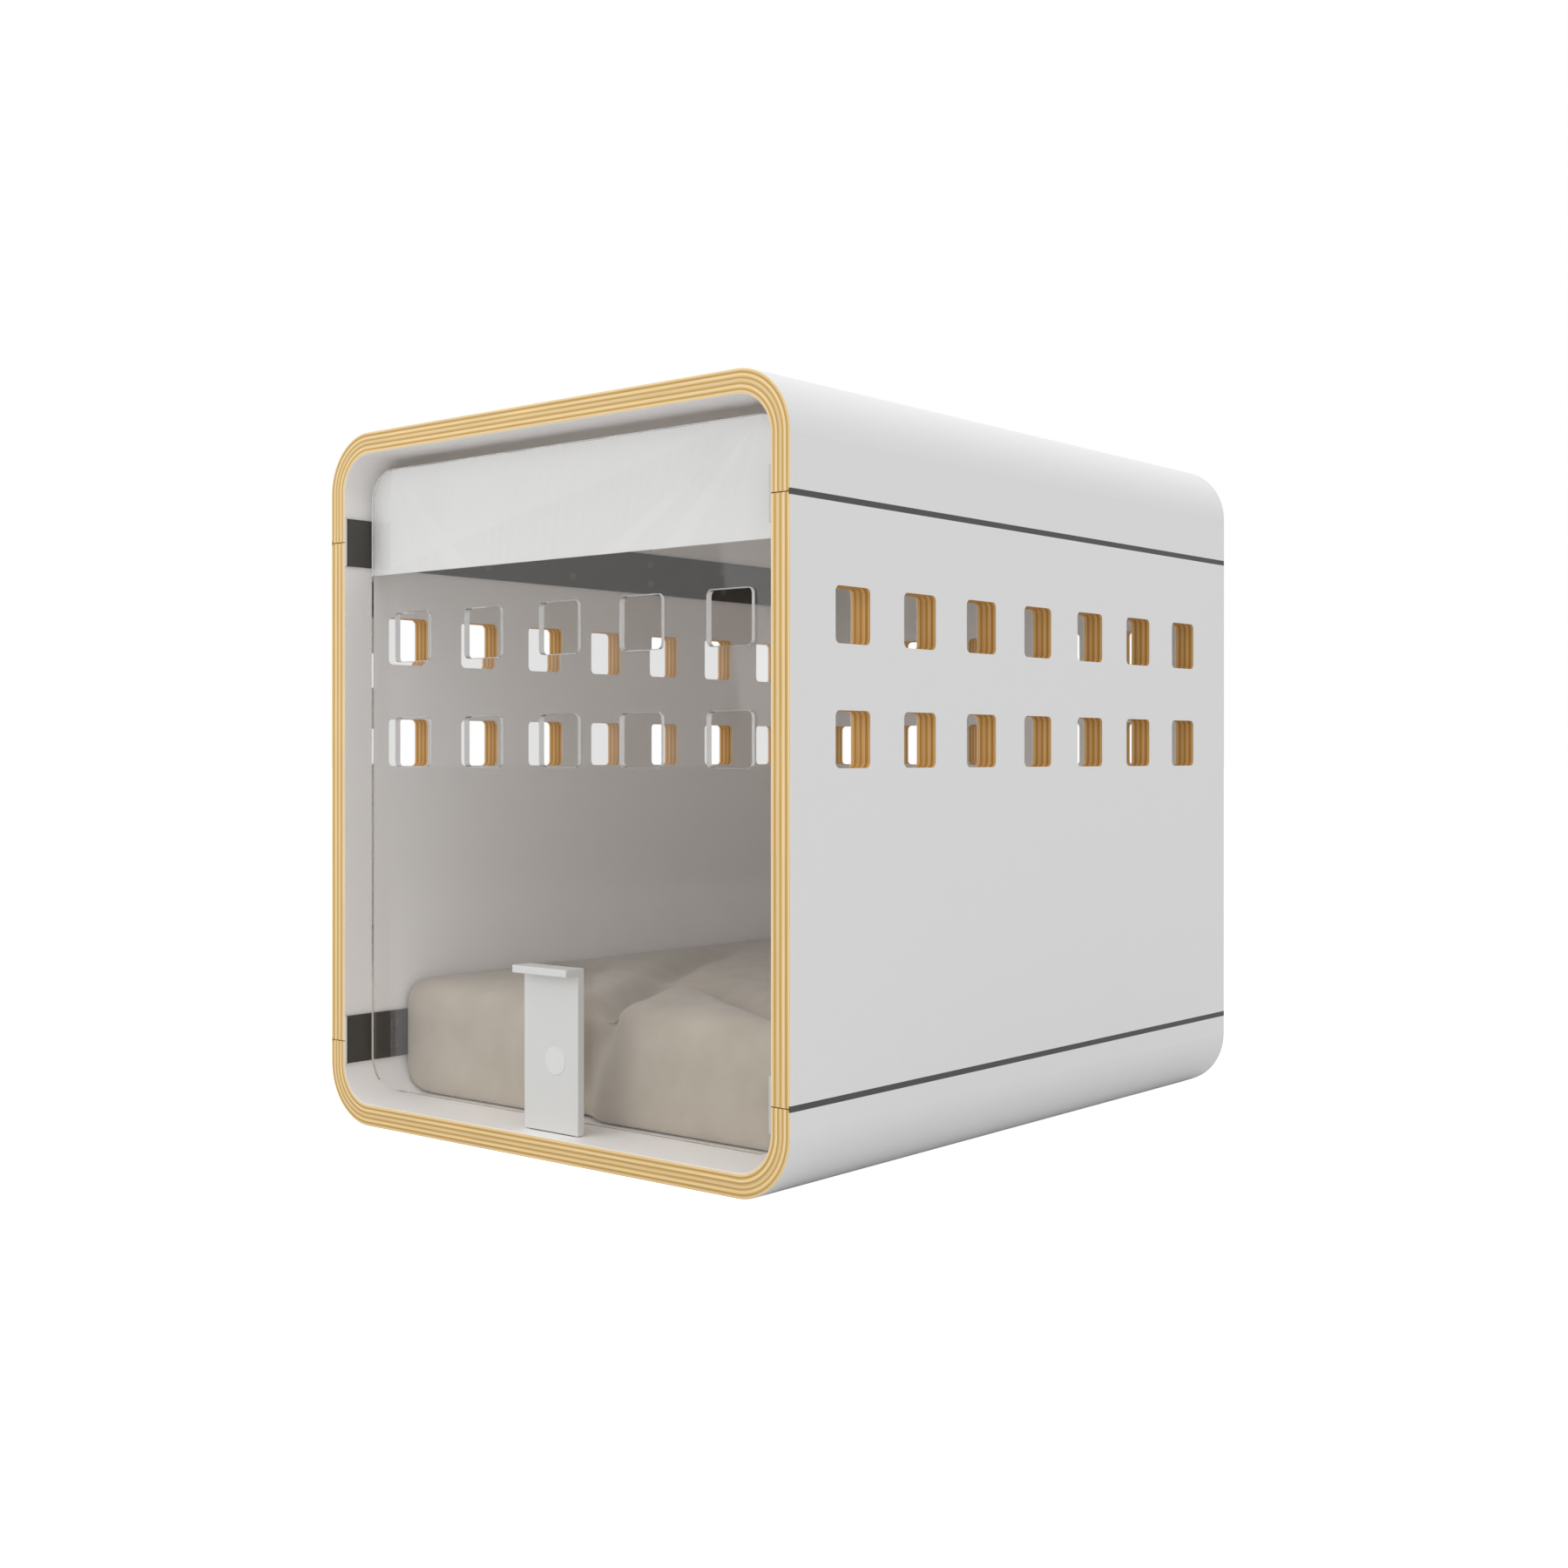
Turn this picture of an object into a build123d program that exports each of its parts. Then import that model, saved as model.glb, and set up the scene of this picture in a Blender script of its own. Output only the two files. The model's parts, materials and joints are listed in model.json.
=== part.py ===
from build123d import *
from math import atan, degrees
import os

# Bentwood pet crate. A tube of bent plywood, closed at the back by a vented panel, holds a pad and is
# closed at the front by a clear gate. The gate hangs on an axle whose ends run in tracks in the roof:
# its foot swings out and up while the axle runs back, until the gate lies flat under the roof.
# Millimetres, +Z up. The origin is the middle of the footprint, on the floor. The gate faces -Y.

# ---- Driving dimensions ----
WIDTH = 455.0
DEPTH = 576.0
HEIGHT = 521.0
PLY = 16.0                  # thickness of every plywood part
BEND_RADIUS = 44.0          # outside radius of the bent corners
EDGE_BREAK = 0.6            # sanded edge on the open ends of the tube
UPPER_SEAM_Z = 440.2
LOWER_SEAM_Z = 61.0
SEAM_GAP = 0.7              # gap left between two plywood parts at a seam

BEAD_HEIGHT = 4.0           # dark strip let into the outside of each seam
BEAD_THICKNESS = 1.5
JOINER_HEIGHT = 36.0        # steel strip over the inside of each seam
JOINER_THICKNESS = 2.0

VENT_ROWS_Z = (288.3, 367.35)
VENT_HEIGHT = 36.7
VENT_RADIUS = 4.0
SIDE_VENTS = 7
SIDE_VENT_PITCH = 73.26
SIDE_VENT_WIDTH = 36.4
SIDE_VENT_FIRST = 45.0      # from the front edge to the first vent
END_VENTS = 5               # in the gate and in the back panel
END_VENT_PITCH = 79.26
END_VENT_WIDTH = 38.25
BACK_RECESS = 3.0

GATE_RECESS = 21.6          # from the front edge to the gate's face
GATE_THICKNESS = 5.0
GATE_WIDTH = 413.0
GATE_BOTTOM = 24.0
GATE_TOP = 495.5
GATE_RADIUS = 24.0
GATE_EDGE_BREAK = 0.4
HEADER_HEIGHT = 79.5
HEADER_THICKNESS = 2.0

PIVOT_RECESS = 37.0         # from the front edge to the axle
PIVOT_Z = 468.5
GATE_TRAVEL = 295.0         # how far the axle runs back
AXLE_RADIUS = 4.0

LATCH_WIDTH = 54.0
LATCH_TOP = 131.7
LATCH_THICKNESS = 6.1
LATCH_RECESS = 14.5         # from the front edge to the plate's face
LATCH_LIFT = 6.0
TAB_REACH = 11.5
TAB_THICKNESS = 5.3

CUSHION_TOP = 108.0
CUSHION_RECESS = 54.0

RUNNING_GAP = 0.05          # radial clearance of a pin in its bore
FIT_GAP = 0.3               # clearance between bodies that move past each other
END_GAP = 0.5               # free space beyond the end of a screw or a dowel

# ---- Derived places ----
FRONT = -DEPTH / 2
REAR = DEPTH / 2
INNER_WIDTH = WIDTH - 2 * PLY
INNER_HEIGHT = HEIGHT - 2 * PLY
INNER_RADIUS = BEND_RADIUS - PLY
WALL = INNER_WIDTH / 2      # X of the right inner wall
CEILING = HEIGHT - PLY
SEAMS = {"upper": UPPER_SEAM_Z, "lower": LOWER_SEAM_Z}
JOINERS = {"upper": UPPER_SEAM_Z, "lower": LOWER_SEAM_Z + 1.0}  # the lower pair clears the floor's bends

BACK_FACE = REAR - BACK_RECESS - PLY
GATE_FACE = FRONT + GATE_RECESS
GATE_BACK = GATE_FACE + GATE_THICKNESS
HEADER_BACK = GATE_BACK + HEADER_THICKNESS
PIVOT_Y = FRONT + PIVOT_RECESS

GATE_HEIGHT = GATE_TOP - GATE_BOTTOM
GATE_MIDDLE = (GATE_TOP + GATE_BOTTOM) / 2


def facing_front(y):
    """Plane at depth y, seen from the front: its axes are X and Z, and a positive extrude comes forward."""
    return Plane.XZ.offset(-y)


def across(x):
    """Plane at the width x: its axes are Y and Z, and a positive extrude goes to +X."""
    return Plane.YZ.offset(x)


def left_twin(right):
    """The left-hand piece that mirrors a right-hand one."""
    with BuildPart() as twin:
        mirror(right.part, about=Plane.YZ)
    return twin


def cut_end_vents():
    """Cut the two rows of vents that the gate and the back panel share out of the open sketch."""
    for z in VENT_ROWS_Z:
        with Locations((0, z)):
            with GridLocations(END_VENT_PITCH, 0, END_VENTS, 1):
                RectangleRounded(END_VENT_WIDTH, VENT_HEIGHT, VENT_RADIUS, mode=Mode.SUBTRACT)


pieces = {}

# ---- Plywood tube: one roof, one floor and two walls, cut from the same bent section ----
with BuildPart() as tube:
    with BuildSketch(facing_front(REAR)):
        with Locations((0, HEIGHT / 2)):
            RectangleRounded(WIDTH, HEIGHT, BEND_RADIUS)
            RectangleRounded(INNER_WIDTH, INNER_HEIGHT, INNER_RADIUS, mode=Mode.SUBTRACT)
    extrude(amount=DEPTH)
    chamfer(tube.faces().filter_by(Axis.Y).edges(), EDGE_BREAK)
    with BuildSketch(facing_front(REAR)):
        for seam_z in SEAMS.values():
            with Locations((0, seam_z)):
                with GridLocations(WIDTH - BEAD_THICKNESS, 0, 2, 1):
                    Rectangle(BEAD_THICKNESS, BEAD_HEIGHT)
    extrude(amount=DEPTH, mode=Mode.SUBTRACT)

# Joiner screws stand in two rows, one into each of the two plywood parts that the strip joins.
SCREW_RADIUS = 1.75
SCREW_HEAD_RADIUS = 3.4
SCREW_GRIP = 10.0           # length of screw in the plywood
SCREW_ROW_SPACING = 17.0
SCREW_COLUMNS = 6
SCREW_PITCH = 96.0
SCREW_FIRST = 49.0          # from the front edge to the first screw
SCREW_MIDDLE = FRONT + SCREW_FIRST + SCREW_PITCH * (SCREW_COLUMNS - 1) / 2
SINK_TAPER = degrees(atan((SCREW_HEAD_RADIUS - SCREW_RADIUS) / JOINER_THICKNESS))


def circles_for_joiner_screws(x, joiner_z, radius):
    """Sketch, at the width x, of one circle for each screw of one joiner."""
    with BuildSketch(across(x)) as circles:
        with Locations((SCREW_MIDDLE, joiner_z)):
            with GridLocations(SCREW_PITCH, SCREW_ROW_SPACING, SCREW_COLUMNS, 2):
                Circle(radius)
    return circles.sketch


def drill_for_joiner_screws():
    """Blind holes for all the joiner screws, from both inner walls."""
    for side in (-1, 1):
        for joiner_z in JOINERS.values():
            circles = circles_for_joiner_screws(side * WALL, joiner_z, SCREW_RADIUS)
            extrude(circles, amount=side * SCREW_GRIP, mode=Mode.SUBTRACT)


# Dowels stand in the middle of the back panel's edge: some lie across, the others upright.
DOWEL_RADIUS = 4.0
DOWEL_IN_TUBE = 9.0
DOWEL_IN_BACK = 14.0
DOWEL_Y = BACK_FACE + PLY / 2
DOWEL_HEIGHTS = (120.0, 230.0, 410.0)
DOWEL_OFFSETS = (-120.0, 0.0, 120.0)


def dowels_across(mode, radius, in_tube, in_back):
    """Cylinders along X through the joints of both walls with the back panel."""
    for side in (-1, 1):
        with BuildSketch(across(side * (WALL + in_tube))) as circles:
            with Locations(*[(DOWEL_Y, z) for z in DOWEL_HEIGHTS]):
                Circle(radius)
        extrude(circles.sketch, amount=-side * (in_tube + in_back), mode=mode)


def dowels_upright(mode, radius, in_tube, in_back):
    """Cylinders along Z through the joints of the roof and the floor with the back panel."""
    for level, up in ((CEILING, 1), (PLY, -1)):
        with BuildSketch(Plane.XY.offset(level + up * in_tube)) as circles:
            with Locations(*[(x, DOWEL_Y) for x in DOWEL_OFFSETS]):
                Circle(radius)
        extrude(circles.sketch, amount=-up * (in_tube + in_back), mode=mode)


# The gate's tracks are let into grooves in the straight legs of the roof.
TRACK_HEIGHT = 14.0
TRACK_DEPTH = 7.0
TRACK_WALL = 1.2
TRACK_END_GAP = 1.0
GLIDE_LENGTH = 16.0
TRACK_START = PIVOT_Y - GLIDE_LENGTH / 2 - TRACK_END_GAP
TRACK_END = PIVOT_Y + GATE_TRAVEL + GLIDE_LENGTH / 2 + TRACK_END_GAP
TRACK_MIDDLE = (TRACK_START + TRACK_END) / 2
TRACK_LENGTH = TRACK_END - TRACK_START
TRACK_WEB = WALL + TRACK_DEPTH - TRACK_WALL     # X of the web's inner face
TRACK_SCREW_PITCH = 120.0
TRACK_SCREW_RADIUS = 1.5
TRACK_SCREW_HEAD_RADIUS = 2.6
TRACK_SCREW_GRIP = 6.0
TRACK_SINK_TAPER = degrees(atan((TRACK_SCREW_HEAD_RADIUS - TRACK_SCREW_RADIUS) / TRACK_WALL))


def circles_for_track_screws(x, radius):
    """Sketch, at the width x, of one circle for each screw of one track."""
    with BuildSketch(across(x)) as circles:
        with Locations((TRACK_MIDDLE, PIVOT_Z)):
            with GridLocations(TRACK_SCREW_PITCH, 0, 3, 1):
                Circle(radius)
    return circles.sketch


# Rest blocks under the roof, which the gate's top edge slides below at the end of its run.
REST_WIDTH = 24.0
REST_SPACING = 200.0
REST_GAP = 0.5
REST_FACE_Z = PIVOT_Z + PIVOT_RECESS - GATE_RECESS + REST_GAP
REST_OVERLAP = 1.5          # how far the gate's top edge ends up below the blocks
REST_RAMP = 26.0
REST_RAMP_RISE = 9.0
REST_LEVEL_LENGTH = 14.0
REST_LEVEL_START = PIVOT_Y + GATE_TRAVEL + GATE_TOP - PIVOT_Z - REST_OVERLAP
REST_SCREW_RADIUS = 1.75
REST_SCREW_GRIP = 9.0
REST_SCREW_HEAD_RADIUS = 3.5
REST_SCREW_HEAD_HEIGHT = 2.5
REST_SCREW_HEAD_DEPTH = 8.0
REST_SCREW_Y = REST_LEVEL_START + REST_LEVEL_LENGTH / 2


def circles_for_rest_screws(z, radius):
    """Sketch, at the height z, of one circle for each rest block's screw."""
    with BuildSketch(Plane.XY.offset(z)) as circles:
        with Locations((0, REST_SCREW_Y)):
            with GridLocations(REST_SPACING, 0, 2, 1):
                Circle(radius)
    return circles.sketch


ROOF_BOTTOM = UPPER_SEAM_Z + SEAM_GAP / 2
with BuildPart() as top_shell:
    add(tube.part)
    with BuildSketch(facing_front(REAR)):
        with Locations((0, (ROOF_BOTTOM + HEIGHT) / 2)):
            Rectangle(WIDTH, HEIGHT - ROOF_BOTTOM)
    extrude(amount=DEPTH, mode=Mode.INTERSECT)
    drill_for_joiner_screws()
    dowels_upright(Mode.SUBTRACT, DOWEL_RADIUS, DOWEL_IN_TUBE, 0)
    for side in (-1, 1):
        with BuildSketch(across(side * WALL)):
            with Locations((TRACK_MIDDLE, PIVOT_Z)):
                Rectangle(TRACK_LENGTH, TRACK_HEIGHT)
        extrude(amount=side * TRACK_DEPTH, mode=Mode.SUBTRACT)
        screw_holes = circles_for_track_screws(side * (WALL + TRACK_DEPTH), TRACK_SCREW_RADIUS)
        extrude(screw_holes, amount=side * TRACK_SCREW_GRIP, mode=Mode.SUBTRACT)
    extrude(circles_for_rest_screws(CEILING, REST_SCREW_RADIUS), amount=REST_SCREW_GRIP, mode=Mode.SUBTRACT)
pieces["top_shell"] = top_shell

# The strike lies in a pocket in the floor under the latch plate; its lip stands behind the plate.
STRIKE_WIDTH = 44.0
STRIKE_THICKNESS = 2.0
STRIKE_LIP = 1.8
STRIKE_LIP_HEIGHT = 2.5
STRIKE_GAP = 0.6            # between the lip and the back of the plate
STRIKE_FRONT = FRONT + LATCH_RECESS + 0.5     # just behind the plate's face, out of sight
STRIKE_BACK = FRONT + LATCH_RECESS + LATCH_THICKNESS + STRIKE_GAP + STRIKE_LIP
POCKET_GAP = 0.2

FLOOR_TOP = LOWER_SEAM_Z - SEAM_GAP / 2
with BuildPart() as bottom_shell:
    add(tube.part)
    with BuildSketch(facing_front(REAR)):
        with Locations((0, FLOOR_TOP / 2)):
            Rectangle(WIDTH, FLOOR_TOP)
    extrude(amount=DEPTH, mode=Mode.INTERSECT)
    drill_for_joiner_screws()
    dowels_upright(Mode.SUBTRACT, DOWEL_RADIUS, DOWEL_IN_TUBE, 0)
    with BuildSketch(Plane.XY.offset(PLY)):
        with Locations((0, (STRIKE_FRONT + STRIKE_BACK) / 2)):
            Rectangle(STRIKE_WIDTH + 2 * POCKET_GAP, STRIKE_BACK - STRIKE_FRONT + 2 * POCKET_GAP)
    extrude(amount=-STRIKE_THICKNESS, mode=Mode.SUBTRACT)
pieces["bottom_shell"] = bottom_shell

WALL_BOTTOM = LOWER_SEAM_Z + SEAM_GAP / 2
WALL_TOP = UPPER_SEAM_Z - SEAM_GAP / 2
SIDE_VENTS_MIDDLE = FRONT + SIDE_VENT_FIRST + (SIDE_VENT_WIDTH + SIDE_VENT_PITCH * (SIDE_VENTS - 1)) / 2
with BuildPart() as right_side_panel:
    add(tube.part)
    with BuildSketch(facing_front(REAR)):
        with Locations(((WIDTH - PLY) / 2, (WALL_BOTTOM + WALL_TOP) / 2)):
            Rectangle(PLY, WALL_TOP - WALL_BOTTOM)
    extrude(amount=DEPTH, mode=Mode.INTERSECT)
    with BuildSketch(across(WALL)):
        for z in VENT_ROWS_Z:
            with Locations((SIDE_VENTS_MIDDLE, z)):
                with GridLocations(SIDE_VENT_PITCH, 0, SIDE_VENTS, 1):
                    RectangleRounded(SIDE_VENT_WIDTH, VENT_HEIGHT, VENT_RADIUS)
    extrude(amount=PLY, mode=Mode.SUBTRACT)
    drill_for_joiner_screws()
    dowels_across(Mode.SUBTRACT, DOWEL_RADIUS, DOWEL_IN_TUBE, 0)
pieces["right_side_panel"] = right_side_panel
pieces["left_side_panel"] = left_twin(right_side_panel)

BACK_GAP = 0.4              # between the back panel's edge and the tube
with BuildPart() as back_panel:
    with BuildSketch(facing_front(BACK_FACE)):
        with Locations((0, HEIGHT / 2)):
            RectangleRounded(
                INNER_WIDTH - 2 * BACK_GAP, INNER_HEIGHT - 2 * BACK_GAP, INNER_RADIUS - BACK_GAP)
        cut_end_vents()
    extrude(amount=-PLY)
    dowels_across(Mode.SUBTRACT, DOWEL_RADIUS, 0, DOWEL_IN_BACK)
    dowels_upright(Mode.SUBTRACT, DOWEL_RADIUS, 0, DOWEL_IN_BACK)
pieces["back_panel"] = back_panel

with BuildPart() as back_panel_dowels:
    for dowels in (dowels_across, dowels_upright):
        dowels(Mode.ADD, DOWEL_RADIUS - RUNNING_GAP, DOWEL_IN_TUBE - END_GAP, DOWEL_IN_BACK - END_GAP)
pieces["back_panel_dowels"] = back_panel_dowels

# ---- Seams: a steel joiner inside and a dark bead outside, on both sides, above and below ----
JOINER_FRONT_GAP = 0.6
JOINER_BACK_GAP = 0.4
JOINER_EDGE_BREAK = 0.3
JOINER_LENGTH = BACK_FACE - JOINER_BACK_GAP - FRONT - JOINER_FRONT_GAP
JOINER_MIDDLE = FRONT + JOINER_FRONT_GAP + JOINER_LENGTH / 2
JOINER_FACE = WALL - JOINER_THICKNESS

for seam_name, joiner_z in JOINERS.items():
    with BuildPart() as right_joiner:
        with BuildSketch(across(JOINER_FACE)):
            with Locations((JOINER_MIDDLE, joiner_z)):
                Rectangle(JOINER_LENGTH, JOINER_HEIGHT)
        extrude(amount=JOINER_THICKNESS)
        chamfer(right_joiner.faces().sort_by(Axis.X)[0].edges(), JOINER_EDGE_BREAK)
        sinks = circles_for_joiner_screws(JOINER_FACE, joiner_z, SCREW_HEAD_RADIUS + RUNNING_GAP)
        extrude(sinks, amount=JOINER_THICKNESS, taper=SINK_TAPER, mode=Mode.SUBTRACT)
    pieces[f"{seam_name}_right_joiner"] = right_joiner
    pieces[f"{seam_name}_left_joiner"] = left_twin(right_joiner)

for seam_name, seam_z in SEAMS.items():
    with BuildPart() as right_bead:
        with BuildSketch(across(WIDTH / 2 - BEAD_THICKNESS)):
            with Locations((0, seam_z)):
                Rectangle(DEPTH - 2 * EDGE_BREAK, BEAD_HEIGHT)
        extrude(amount=BEAD_THICKNESS)
    pieces[f"{seam_name}_right_bead"] = right_bead
    pieces[f"{seam_name}_left_bead"] = left_twin(right_bead)

with BuildPart() as joiner_screws:
    for joiner_z in JOINERS.values():
        heads = circles_for_joiner_screws(JOINER_FACE, joiner_z, SCREW_HEAD_RADIUS)
        extrude(heads, amount=JOINER_THICKNESS, taper=SINK_TAPER)
        shanks = circles_for_joiner_screws(WALL, joiner_z, SCREW_RADIUS - RUNNING_GAP)
        extrude(shanks, amount=SCREW_GRIP - END_GAP)
    mirror(about=Plane.YZ)
pieces["joiner_screws"] = joiner_screws

# ---- Tracks, rest blocks and strike ----
with BuildPart() as right_track:
    with BuildSketch(facing_front(TRACK_END)):
        with Locations((WALL + TRACK_DEPTH / 2, PIVOT_Z)):
            Rectangle(TRACK_DEPTH, TRACK_HEIGHT)
        with Locations((WALL + (TRACK_DEPTH - TRACK_WALL) / 2, PIVOT_Z)):
            Rectangle(TRACK_DEPTH - TRACK_WALL, TRACK_HEIGHT - 2 * TRACK_WALL, mode=Mode.SUBTRACT)
    extrude(amount=TRACK_LENGTH)
    track_sinks = circles_for_track_screws(TRACK_WEB, TRACK_SCREW_HEAD_RADIUS + RUNNING_GAP)
    extrude(track_sinks, amount=TRACK_WALL, taper=TRACK_SINK_TAPER, mode=Mode.SUBTRACT)
pieces["right_track"] = right_track
pieces["left_track"] = left_twin(right_track)

with BuildPart() as track_screws:
    heads = circles_for_track_screws(TRACK_WEB, TRACK_SCREW_HEAD_RADIUS)
    extrude(heads, amount=TRACK_WALL, taper=TRACK_SINK_TAPER)
    shanks = circles_for_track_screws(TRACK_WEB + TRACK_WALL, TRACK_SCREW_RADIUS - RUNNING_GAP)
    extrude(shanks, amount=TRACK_SCREW_GRIP - END_GAP)
    mirror(about=Plane.YZ)
pieces["track_screws"] = track_screws

with BuildPart() as gate_rests:
    for x in (-REST_SPACING / 2, REST_SPACING / 2):
        with BuildSketch(across(x - REST_WIDTH / 2)):
            with BuildLine():
                Polyline(
                    (REST_LEVEL_START - REST_RAMP, CEILING),
                    (REST_LEVEL_START - REST_RAMP, REST_FACE_Z + REST_RAMP_RISE),
                    (REST_LEVEL_START, REST_FACE_Z),
                    (REST_LEVEL_START + REST_LEVEL_LENGTH, REST_FACE_Z),
                    (REST_LEVEL_START + REST_LEVEL_LENGTH, CEILING),
                    close=True,
                )
            make_face()
        extrude(amount=REST_WIDTH)
    extrude(circles_for_rest_screws(REST_FACE_Z, REST_SCREW_HEAD_RADIUS + RUNNING_GAP),
            amount=REST_SCREW_HEAD_DEPTH, mode=Mode.SUBTRACT)
    extrude(circles_for_rest_screws(REST_FACE_Z, REST_SCREW_RADIUS + RUNNING_GAP),
            amount=CEILING - REST_FACE_Z, mode=Mode.SUBTRACT)
pieces["gate_rests"] = gate_rests

with BuildPart() as gate_rest_screws:
    head_z = REST_FACE_Z + REST_SCREW_HEAD_DEPTH - REST_SCREW_HEAD_HEIGHT
    extrude(circles_for_rest_screws(head_z, REST_SCREW_HEAD_RADIUS), amount=REST_SCREW_HEAD_HEIGHT)
    extrude(circles_for_rest_screws(head_z, REST_SCREW_RADIUS - RUNNING_GAP),
            amount=CEILING + REST_SCREW_GRIP - END_GAP - head_z)
pieces["gate_rest_screws"] = gate_rest_screws

with BuildPart() as latch_strike:
    with BuildSketch(across(-STRIKE_WIDTH / 2)):
        with BuildLine():
            Polyline(
                (STRIKE_FRONT, PLY - STRIKE_THICKNESS),
                (STRIKE_BACK, PLY - STRIKE_THICKNESS),
                (STRIKE_BACK, PLY + STRIKE_LIP_HEIGHT),
                (STRIKE_BACK - STRIKE_LIP, PLY + STRIKE_LIP_HEIGHT),
                (STRIKE_BACK - STRIKE_LIP, PLY),
                (STRIKE_FRONT, PLY),
                close=True,
            )
        make_face()
    extrude(amount=STRIKE_WIDTH)
pieces["latch_strike"] = latch_strike

# ---- Cushion: a plain closed solid inside the tube, rounded to clear its bent corners ----
CUSHION_SIDE_GAP = 3.0
CUSHION_FLOOR_GAP = 0.3
CUSHION_BACK_GAP = 2.0
CUSHION_RADIUS = 30.0
CUSHION_END_RADIUS = 28.0
with BuildPart() as cushion:
    with BuildSketch(facing_front(BACK_FACE - CUSHION_BACK_GAP)):
        with Locations((0, (PLY + CUSHION_FLOOR_GAP + CUSHION_TOP) / 2)):
            RectangleRounded(
                INNER_WIDTH - 2 * CUSHION_SIDE_GAP, CUSHION_TOP - PLY - CUSHION_FLOOR_GAP, CUSHION_RADIUS)
    extrude(amount=BACK_FACE - CUSHION_BACK_GAP - FRONT - CUSHION_RECESS)
    fillet(cushion.faces().filter_by(Axis.Y).edges(), CUSHION_END_RADIUS)
pieces["cushion"] = cushion

# ---- Carriage: the axle and what slides with it ----
AXLE_END = TRACK_WEB - 0.8  # short of the web, so that only the glide rubs on it
AXLE_EDGE_BREAK = 0.4
GLIDE_HEIGHT = TRACK_HEIGHT - 2 * TRACK_WALL - 2 * FIT_GAP
GLIDE_OUTER = TRACK_WEB - FIT_GAP
GLIDE_INNER = WALL + 0.2    # sunk a little into the mouth of the track
GLIDE_RADIUS = 2.0
CLIP_RADIUS = 7.0
CLIP_THICKNESS = 1.0
CLIP_GAP = 0.2
CLIP_MOUTH = 5.0

with BuildPart() as pivot_axle:
    with BuildSketch(across(-AXLE_END)):
        with Locations((PIVOT_Y, PIVOT_Z)):
            Circle(AXLE_RADIUS)
    extrude(amount=2 * AXLE_END)
    chamfer(pivot_axle.edges(), AXLE_EDGE_BREAK)
pieces["pivot_axle"] = pivot_axle

with BuildPart() as right_glide:
    with BuildSketch(across(GLIDE_INNER)):
        with Locations((PIVOT_Y, PIVOT_Z)):
            RectangleRounded(GLIDE_LENGTH, GLIDE_HEIGHT, GLIDE_RADIUS)
            Circle(AXLE_RADIUS + RUNNING_GAP, mode=Mode.SUBTRACT)
    extrude(amount=GLIDE_OUTER - GLIDE_INNER)
pieces["right_glide"] = right_glide
pieces["left_glide"] = left_twin(right_glide)

with BuildPart() as axle_clips:
    with BuildSketch(across(GLIDE_INNER - CLIP_GAP)):
        with Locations((PIVOT_Y, PIVOT_Z)):
            Circle(CLIP_RADIUS)
            Circle(AXLE_RADIUS + RUNNING_GAP, mode=Mode.SUBTRACT)
        with Locations((PIVOT_Y, PIVOT_Z - CLIP_RADIUS)):
            Rectangle(CLIP_MOUTH, CLIP_RADIUS, mode=Mode.SUBTRACT)
    extrude(amount=-CLIP_THICKNESS)
    mirror(about=Plane.YZ)
pieces["axle_clips"] = axle_clips

# ---- Gate: sheet, header and hangers ----
GUIDE_X = 4.5
GUIDE_CAVITY_Z = 66.5       # middle of the cavity in the latch plate
GUIDE_Z = GUIDE_CAVITY_Z + LATCH_LIFT / 2
GUIDE_NECK_RADIUS = 2.9

with BuildPart() as gate_sheet:
    with BuildSketch(facing_front(GATE_FACE)):
        with Locations((0, GATE_MIDDLE)):
            RectangleRounded(GATE_WIDTH, GATE_HEIGHT, GATE_RADIUS)
        cut_end_vents()
    extrude(amount=-GATE_THICKNESS)
    chamfer(gate_sheet.faces().filter_by(Axis.Y).edges(), GATE_EDGE_BREAK)
    with BuildSketch(facing_front(GATE_FACE)):
        with Locations((GUIDE_X, GUIDE_Z)):
            Circle(GUIDE_NECK_RADIUS + RUNNING_GAP)
    extrude(amount=-GATE_THICKNESS, mode=Mode.SUBTRACT)
pieces["gate_sheet"] = gate_sheet

with BuildPart() as gate_header:
    with BuildSketch(facing_front(GATE_BACK)):
        with Locations((0, GATE_MIDDLE)):
            RectangleRounded(GATE_WIDTH, GATE_HEIGHT, GATE_RADIUS)
        with Locations((0, GATE_TOP - HEADER_HEIGHT / 2)):
            Rectangle(GATE_WIDTH, HEADER_HEIGHT, mode=Mode.INTERSECT)
    extrude(amount=-HEADER_THICKNESS)
pieces["gate_header"] = gate_header

HANGER_X = 150.0            # X of the ear's inner face
HANGER_THICKNESS = 3.0
HANGER_FLANGE = 28.0
HANGER_FLANGE_THICKNESS = 2.0
HANGER_HEIGHT = 40.0
HANGER_CORNER_RADIUS = 2.0
EAR_RADIUS = 8.0
BUSH_RADIUS = 5.5
BUSH_FLANGE_RADIUS = 7.0
BUSH_FLANGE_THICKNESS = 1.0
STUD_RADIUS = 2.0
STUD_LENGTH = 7.0
STUD_SPACING = 26.0
NUT_RADIUS = 4.0            # across the corners of the hexagon
NUT_THICKNESS = 3.2
HANGER_BACK = HEADER_BACK + HANGER_FLANGE_THICKNESS
STUD_X = HANGER_X - HANGER_FLANGE / 2 + HANGER_THICKNESS / 2

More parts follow.
